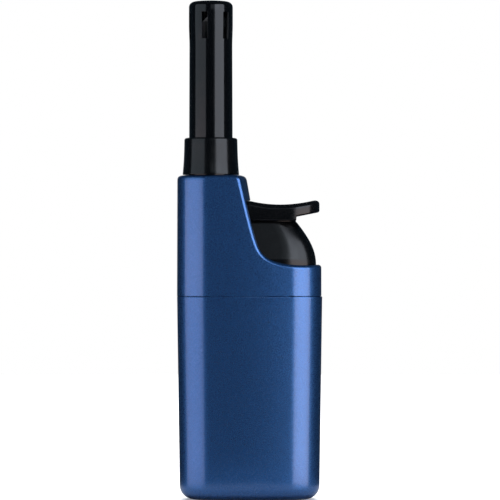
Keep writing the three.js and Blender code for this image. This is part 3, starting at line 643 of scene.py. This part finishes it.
# Name, spring, first and last turn made, bodies that the lower and upper ends follow. The hammer
# spring is made in two lengths, because both of its ends move: one with the hammer and one with
# the button.
COILS = [
    ("return_spring_coil", RETURN_SPRING, (0, 3), "casing", "button"),
    ("hammer_spring_foot", HAMMER_SPRING, (0, 2), "hammer", "casing"),
    ("hammer_spring_coil", HAMMER_SPRING, (2, 8), "casing", "button"),
    ("outlet_spring_coil", OUTLET_SPRING, (0, 5), "outlet_stem", "casing"),
    ("refill_spring_coil", REFILL_SPRING, (0, 5), "refill_stem", "casing"),
]
WIRE_SIDES, TURN_STEPS = 8, 24
HOSE_RADIUS, HOSE_BORE, HOSE_STEPS = 1.3, 0.9, 24
HOSE_GRIP, HOSE_GIVE_TOP = 2, 12  # the hose stretches between these heights above its foot


def between(x, low_body, high_body, low, high):
    """The bodies and points of a piece that stretches along a vertical axis between two heights."""
    return low_body, high_body, (x * MM, 0, low * MM), (x * MM, 0, high * MM)


def coil(name, spring, made, foot_body, top_body, material):
    """A coil spring, or some turns of one, made as a round wire along a helix."""
    node, x, radius, wire, turns = spring
    foot, top = span(node, 2)
    first, last = made
    steps = TURN_STEPS * (last - first)
    climb = (top - foot - 2 * wire) / turns
    lean = math.atan2(climb, 2 * math.pi * radius)
    points = []
    for i in range(steps + 1):
        turn = 2 * math.pi * (first + i / TURN_STEPS)
        z = foot + wire + climb * (first + i / TURN_STEPS)
        for k in range(WIRE_SIDES):
            a = 2 * math.pi * k / WIRE_SIDES
            out, up = radius + wire * math.cos(a), wire * math.sin(a)
            along = -up * math.sin(lean)
            px = x + out * math.cos(turn) - along * math.sin(turn)
            py = out * math.sin(turn) + along * math.cos(turn)
            points.append((px, py, z + up * math.cos(lean)))
    faces = ring_faces(steps + 1, WIRE_SIDES)
    faces.append(tuple(reversed(range(WIRE_SIDES))))
    faces.append(tuple(range(steps * WIRE_SIDES, (steps + 1) * WIRE_SIDES)))
    low = foot if first == 0 else foot + 2 * wire + climb * first
    high = top if last == turns else foot + climb * last
    bodies = between(x, foot_body, top_body, low, high)
    return new_piece(name, points, faces, bodies, "spring_steel", material, [node])


def gas_hose(material):
    """The hose as a turned tube; in use its foot rises with the valve stem, the rest stays in the
    nozzle.
    """
    foot, top = span("gas_hose", 2)
    heights = [foot + (top - foot) * i / HOSE_STEPS for i in range(HOSE_STEPS + 1)]
    profile = [(HOSE_RADIUS, z) for z in heights] + [(HOSE_BORE, z) for z in reversed(heights)]
    low, high = foot + HOSE_GRIP, foot + HOSE_GIVE_TOP
    bodies = between(NOZZLE_X, "outlet_stem", "casing", low, high)
    return turned(
        "hose_tube", profile, NOZZLE_X, 0, 32, bodies, "clear_hose", material, ["gas_hose"]
    )


# ------------------------------------------------------------------ materials
def material_with(name, base, roughness, metallic=0.0, **sockets):
    """A material with a shader whose even values are set on its own sockets, and its node tree."""
    material = bpy.data.materials.new(name)
    material.use_nodes = True
    shader = material.node_tree.nodes["Principled BSDF"]
    shader.inputs["Base Color"].default_value = (*base, 1)
    shader.inputs["Roughness"].default_value = roughness
    shader.inputs["Metallic"].default_value = metallic
    for socket, value in sockets.items():
        shader.inputs[socket.replace("_", " ")].default_value = value
    return material, material.node_tree, shader


def object_coordinates(tree):
    """Places on the object, in metres, whichever way it is seen."""
    return tree.nodes.new("ShaderNodeTexCoord").outputs["Object"]


def noise(tree, scale, detail):
    """A noise pattern whose scale is in features per millimetre."""
    node = tree.nodes.new("ShaderNodeTexNoise")
    node.inputs["Scale"].default_value = scale / MM
    node.inputs["Detail"].default_value = detail
    tree.links.new(object_coordinates(tree), node.inputs["Vector"])
    return node.outputs["Fac"]


def ramp(tree, value, low, high, start, end):
    """Maps a value's range onto another."""
    node = tree.nodes.new("ShaderNodeMapRange")
    node.inputs["From Min"].default_value = low
    node.inputs["From Max"].default_value = high
    node.inputs["To Min"].default_value = start
    node.inputs["To Max"].default_value = end
    tree.links.new(value, node.inputs["Value"])
    return node.outputs["Result"]


def colour_between(tree, factor, first, second):
    """A colour mixed from two by a factor."""
    node = tree.nodes.new("ShaderNodeMix")
    node.data_type = "RGBA"
    node.inputs["A"].default_value = (*first, 1)
    node.inputs["B"].default_value = (*second, 1)
    tree.links.new(factor, node.inputs["Factor"])
    return node.outputs["Result"]


def bump(tree, height, shader, strength, distance):
    """A bump of that distance in millimetres on the shader's normal."""
    node = tree.nodes.new("ShaderNodeBump")
    node.inputs["Strength"].default_value = strength
    node.inputs["Distance"].default_value = distance * MM
    tree.links.new(height, node.inputs["Height"])
    tree.links.new(node.outputs["Normal"], shader.inputs["Normal"])


def tilted_flakes(tree, cell_colour, tilt):
    """The surface normal, tipped a little differently in every flake."""
    centred = tree.nodes.new("ShaderNodeVectorMath")
    centred.operation = "SUBTRACT"
    centred.inputs[1].default_value = (0.5, 0.5, 0.5)
    tree.links.new(cell_colour, centred.inputs[0])
    scaled = tree.nodes.new("ShaderNodeVectorMath")
    scaled.operation = "SCALE"
    scaled.inputs["Scale"].default_value = tilt
    tree.links.new(centred.outputs["Vector"], scaled.inputs[0])
    tipped = tree.nodes.new("ShaderNodeVectorMath")
    tree.links.new(tree.nodes.new("ShaderNodeNewGeometry").outputs["Normal"], tipped.inputs[0])
    tree.links.new(scaled.outputs["Vector"], tipped.inputs[1])
    level = tree.nodes.new("ShaderNodeVectorMath")
    level.operation = "NORMALIZE"
    tree.links.new(tipped.outputs["Vector"], level.inputs[0])
    return level.outputs["Vector"]


FLAKES_PER_MM = 12
FLAKE_TILT = 0.12
FLAKE_ROUGHNESS = (0.24, 0.42)
FLAKE_DARK, FLAKE_LIGHT = (0.036, 0.132, 0.365), (0.06, 0.195, 0.52)


def blue_lacquer():
    """Satin blue metallic lacquer: fine flakes, each tipped its own way, under a clear coat."""
    material, tree, shader = material_with(
        "blue_lacquer", (0.048, 0.164, 0.44), 0.3, 0.95, Coat_Weight=1.0, Coat_Roughness=0.12
    )
    flakes = tree.nodes.new("ShaderNodeTexVoronoi")
    flakes.inputs["Scale"].default_value = FLAKES_PER_MM / MM
    tree.links.new(object_coordinates(tree), flakes.inputs["Vector"])
    split = tree.nodes.new("ShaderNodeSeparateColor")
    tree.links.new(flakes.outputs["Color"], split.inputs["Color"])
    colour = colour_between(tree, split.outputs["Red"], FLAKE_DARK, FLAKE_LIGHT)
    tree.links.new(colour, shader.inputs["Base Color"])
    gloss = ramp(tree, split.outputs["Blue"], 0, 1, *FLAKE_ROUGHNESS)
    tree.links.new(gloss, shader.inputs["Roughness"])
    normal = tilted_flakes(tree, flakes.outputs["Color"], FLAKE_TILT)
    tree.links.new(normal, shader.inputs["Normal"])
    return material


BLACK_PIGMENT = (0.0012, 0.0013, 0.0016)


def black_moulding(name, polish):
    """Black moulded plastic with a faint orange-peel surface and handling marks in its gloss."""
    material, tree, shader = material_with(name, BLACK_PIGMENT, polish)
    marks = noise(tree, 0.35, 5)
    gloss = ramp(tree, marks, 0.35, 0.7, polish - 0.03, polish + 0.03)
    tree.links.new(gloss, shader.inputs["Roughness"])
    bump(tree, noise(tree, 0.8, 2), shader, 0.12, 0.02)
    return material


def black_enamel():
    """Gloss black enamel on rolled steel, with the faint waviness of the sheet."""
    material, tree, shader = material_with("black_enamel_paint", BLACK_PIGMENT, 0.12)
    marks = noise(tree, 0.5, 5)
    tree.links.new(ramp(tree, marks, 0.35, 0.7, 0.09, 0.15), shader.inputs["Roughness"])
    bump(tree, noise(tree, 0.6, 3), shader, 0.2, 0.02)
    return material


def moulded_plastic(name, dark, light, roughness):
    """Moulded plastic or rubber, a little cloudy, with a fine grain."""
    material, tree, shader = material_with(name, dark, roughness)
    cloud = noise(tree, 0.4, 4)
    tree.links.new(colour_between(tree, cloud, dark, light), shader.inputs["Base Color"])
    grain = noise(tree, 3, 2)
    gloss = ramp(tree, grain, 0.3, 0.7, roughness - 0.07, roughness + 0.07)
    tree.links.new(gloss, shader.inputs["Roughness"])
    bump(tree, grain, shader, 0.3, 0.02)
    return material


def plain_metal(name, dark, light, roughness, stretch=(1, 1, 1)):
    """Turned or drawn metal with fine tool marks, drawn out by a stretch along an axis."""
    material, tree, shader = material_with(name, dark, roughness, 1.0)
    mapping = tree.nodes.new("ShaderNodeMapping")
    mapping.inputs["Scale"].default_value = stretch
    tree.links.new(object_coordinates(tree), mapping.inputs["Vector"])
    lines = tree.nodes.new("ShaderNodeTexNoise")
    lines.inputs["Scale"].default_value = 2 / MM
    lines.inputs["Detail"].default_value = 5
    tree.links.new(mapping.outputs["Vector"], lines.inputs["Vector"])
    marks = lines.outputs["Fac"]
    tree.links.new(colour_between(tree, marks, dark, light), shader.inputs["Base Color"])
    gloss = ramp(tree, marks, 0.3, 0.7, roughness - 0.08, roughness + 0.08)
    tree.links.new(gloss, shader.inputs["Roughness"])
    bump(tree, marks, shader, 0.25, 0.01)
    return material


BLUE = blue_lacquer()
COLLAR_BLACK = black_moulding("gloss_moulding", 0.18)
BUTTON_BLACK = black_moulding("satin_moulding", 0.21)
ENAMEL = black_enamel()
TURNED = (0.15, 0.15, 1)  # tool marks run round the axis
INNER_MATERIALS = {
    "dark_plastic": moulded_plastic("dark_acetal", (0.02, 0.021, 0.023), (0.035, 0.036, 0.04), 0.5),
    "pale_plastic": moulded_plastic("pale_acetal", (0.62, 0.6, 0.52), (0.74, 0.72, 0.64), 0.42),
    "brass": plain_metal("turned_brass", (0.6, 0.42, 0.16), (0.78, 0.58, 0.26), 0.3, TURNED),
    "aluminium": plain_metal("plain_aluminium", (0.6, 0.61, 0.63), (0.78, 0.79, 0.8), 0.34, TURNED),
    "steel": plain_metal("plain_steel", (0.42, 0.43, 0.45), (0.58, 0.59, 0.6), 0.3, TURNED),
    "spring_steel": plain_metal("spring_wire", (0.45, 0.46, 0.48), (0.66, 0.67, 0.68), 0.25),
    "rubber": moulded_plastic("nitrile_rubber", (0.012, 0.012, 0.012), (0.03, 0.03, 0.03), 0.75),
    "ceramic": moulded_plastic("piezo_ceramic", (0.55, 0.5, 0.4), (0.68, 0.62, 0.5), 0.6),
    "foam": moulded_plastic("filter_felt", (0.55, 0.5, 0.42), (0.8, 0.76, 0.68), 0.85),
    "clear_hose": moulded_plastic("hose_plastic", (0.62, 0.62, 0.56), (0.74, 0.74, 0.68), 0.3),
    "lead_jacket": moulded_plastic("lead_insulation", (0.3, 0.02, 0.015), (0.42, 0.04, 0.03), 0.45),
}


def paint_inner_nodes():
    """Gives every CAD node that is shown the material of its slot."""
    slots = {part["node"]: part["material_slot"] for part in frame["record"]["subparts"]}
    for name, node in frame["nodes"].items():
        material = INNER_MATERIALS.get(slots[name])
        if material is None:
            continue
        node.data.materials.clear()
        node.data.materials.append(material)
        node.data.polygons.foreach_set("use_smooth", [True] * len(node.data.polygons))
        node.data.set_sharp_from_angle(angle=math.radians(40))


# ------------------------------------------------------------------ studio, in metres
LIGHT_DISTANCE = 0.9
# Name, bearing, foot, top, width, brightness, colour. The boxes at the left and the right stand in
# stacks, so that their reflections change colour up the body.
SOFT_BOXES = [
    ("left_upper_box", -58, 0.122, 0.65, 1.1, 0.8, (0.75, 0.88, 1)),
    ("left_middle_box", -58, 0.025, 0.122, 1.1, 1.5, (1, 0.85, 0.9)),
    ("left_lower_box", -58, -0.4, 0.025, 1.1, 1.02, (1, 0.84, 0.9)),
    ("right_upper_box", 48.3, 0.1, 0.65, 0.88, 2.5, (0.82, 0.88, 1)),
    ("right_middle_box", 48.3, 0.01, 0.1, 0.88, 2.35, (1, 0.84, 0.82)),
    ("right_lower_box", 48.3, -0.4, 0.01, 0.88, 2.2, (1, 0.75, 0.68)),
    ("right_fading_box", 20, -0.4, 0.65, 0.12, 0.35, (0.8, 0.9, 1)),
    ("front_high_box", 22, 0.25, 0.55, 0.75, 0.45, (0.8, 0.9, 1)),
]
BACK_BOX = ("back_box", 188, 0.02, 0.5, 0.6, 0.15, (1, 1, 1))
CEILING_SIZE, CEILING_PLACE = 1.6, (0, 0.2, 1.5)
FLOOR_POWER, GLOW_POWER = 46, 3
AIR_COLOUR = (0.02, 0.034, 0.05)
PAPER_WHITE = (0.9, 0.9, 0.9)
PAPER_IN_REFLECTIONS = (0.32, 0.33, 0.35)
PAPER_GLOW = 0.3
CAMERA_LENS, SENSOR_WIDTH = 178.85, 36
CAMERA_PLACE = (0.00009, -0.6, 0.0601)


def soft_box(name, bearing, foot, top, width, brightness, colour):
    """An upright area light facing the object, its foot and top heights in metres.

    The bearing is in degrees round from the camera, positive to the right. The brightness is its
    radiance.
    """
    light = bpy.data.lights.new(name, "AREA")
    light.shape = "RECTANGLE"
    light.size, light.size_y = width, top - foot
    light.energy = brightness * math.pi * width * (top - foot)
    light.color = colour
    lamp = bpy.data.objects.new(name, light)
    bpy.context.collection.objects.link(lamp)
    a = math.radians(bearing)
    height = (foot + top) / 2
    lamp.location = (LIGHT_DISTANCE * math.sin(a), -LIGHT_DISTANCE * math.cos(a), height)
    aim = Vector((0, 0, height)) - lamp.location
    lamp.rotation_euler = aim.to_track_quat("-Z", "Y").to_euler()
    return lamp


def overhead(name, power):
    """A large square light above the object, facing down."""
    light = bpy.data.lights.new(name, "AREA")
    light.size = CEILING_SIZE
    light.energy = power
    lamp = bpy.data.objects.new(name, light)
    bpy.context.collection.objects.link(lamp)
    lamp.location = CEILING_PLACE
    return lamp


def studio_air():
    """Dim air for reflections, and plain white where the camera sees past the floor."""
    world = bpy.data.worlds.new("studio_air")
    bpy.context.scene.world = world
    world.use_nodes = True
    tree = world.node_tree
    path = tree.nodes.new("ShaderNodeLightPath")
    shade = colour_between(tree, path.outputs["Is Camera Ray"], AIR_COLOUR, (1, 1, 1))
    tree.links.new(shade, tree.nodes["Background"].inputs["Color"])


def pale_paper():
    """White paper that looks darker where the object reflects it."""
    paper, tree, shader = material_with("pale_paper", PAPER_WHITE, 0.9)
    path = tree.nodes.new("ShaderNodeLightPath")
    glossy_ray, camera_ray = path.outputs["Is Glossy Ray"], path.outputs["Is Camera Ray"]
    shade = colour_between(tree, glossy_ray, PAPER_WHITE, PAPER_IN_REFLECTIONS)
    tree.links.new(shade, shader.inputs["Base Color"])
    shader.inputs["Emission Color"].default_value = (1, 1, 1, 1)
    glow = ramp(tree, camera_ray, 0, 1, 0, PAPER_GLOW)
    tree.links.new(glow, shader.inputs["Emission Strength"])
    return paper


def paper_disc(name, radius, z, paper):
    """A round sheet of white paper as a fan of triangles."""
    steps = 96
    mesh = bpy.data.meshes.new(name)
    turns = [2 * math.pi * i / steps for i in range(steps)]
    points = [(0, 0, 0)] + [(radius * math.cos(a), radius * math.sin(a), 0) for a in turns]
    mesh.from_pydata(points, [], [(0, i + 1, (i + 1) % steps + 1) for i in range(steps)])
    mesh.materials.append(paper)
    sheet = bpy.data.objects.new(name, mesh)
    bpy.context.collection.objects.link(sheet)
    sheet.location.z = z
    return sheet


def lights():
    """Soft boxes round the object, one behind it, and two lights overhead."""
    for facts in SOFT_BOXES:
        soft_box(*facts)
    back = soft_box(*BACK_BOX)
    back.visible_camera = False
    floor_light = overhead("floor_light", FLOOR_POWER)
    floor_light.visible_glossy = False
    overhead("ceiling_glow", GLOW_POWER)


def floor():
    """A wide sheet that is left out of reflections, and a small one under the object that is not."""
    paper = pale_paper()
    wide = paper_disc("floor", 0.6, -0.0002, paper)
    wide.visible_glossy = False
    wide.visible_shadow = False
    paper_disc("floor_near", 0.04, -0.0001, paper)


def camera():
    """A long lens level with the middle of the object."""
    camera_data = bpy.data.cameras.new("camera")
    camera_data.lens = CAMERA_LENS
    camera_data.sensor_width = SENSOR_WIDTH
    camera_object = bpy.data.objects.new("camera", camera_data)
    bpy.context.collection.objects.link(camera_object)
    camera_object.location = CAMERA_PLACE
    camera_object.rotation_euler = (math.pi / 2, 0, 0)
    bpy.context.scene.camera = camera_object
    bpy.context.scene.view_settings.view_transform = "Standard"


# ------------------------------------------------------------------ the whole scene
lights()
studio_air()
floor()
camera()
tank_body(BLUE)
upper_housing(BLUE)
nozzle_collar(COLLAR_BLACK)
nozzle_tube(ENAMEL)
thumb_button(BUTTON_BLACK)
paint_inner_nodes()
for coil_facts in COILS:
    coil(*coil_facts, INNER_MATERIALS["spring_steel"])
gas_hose(INNER_MATERIALS["clear_hose"])
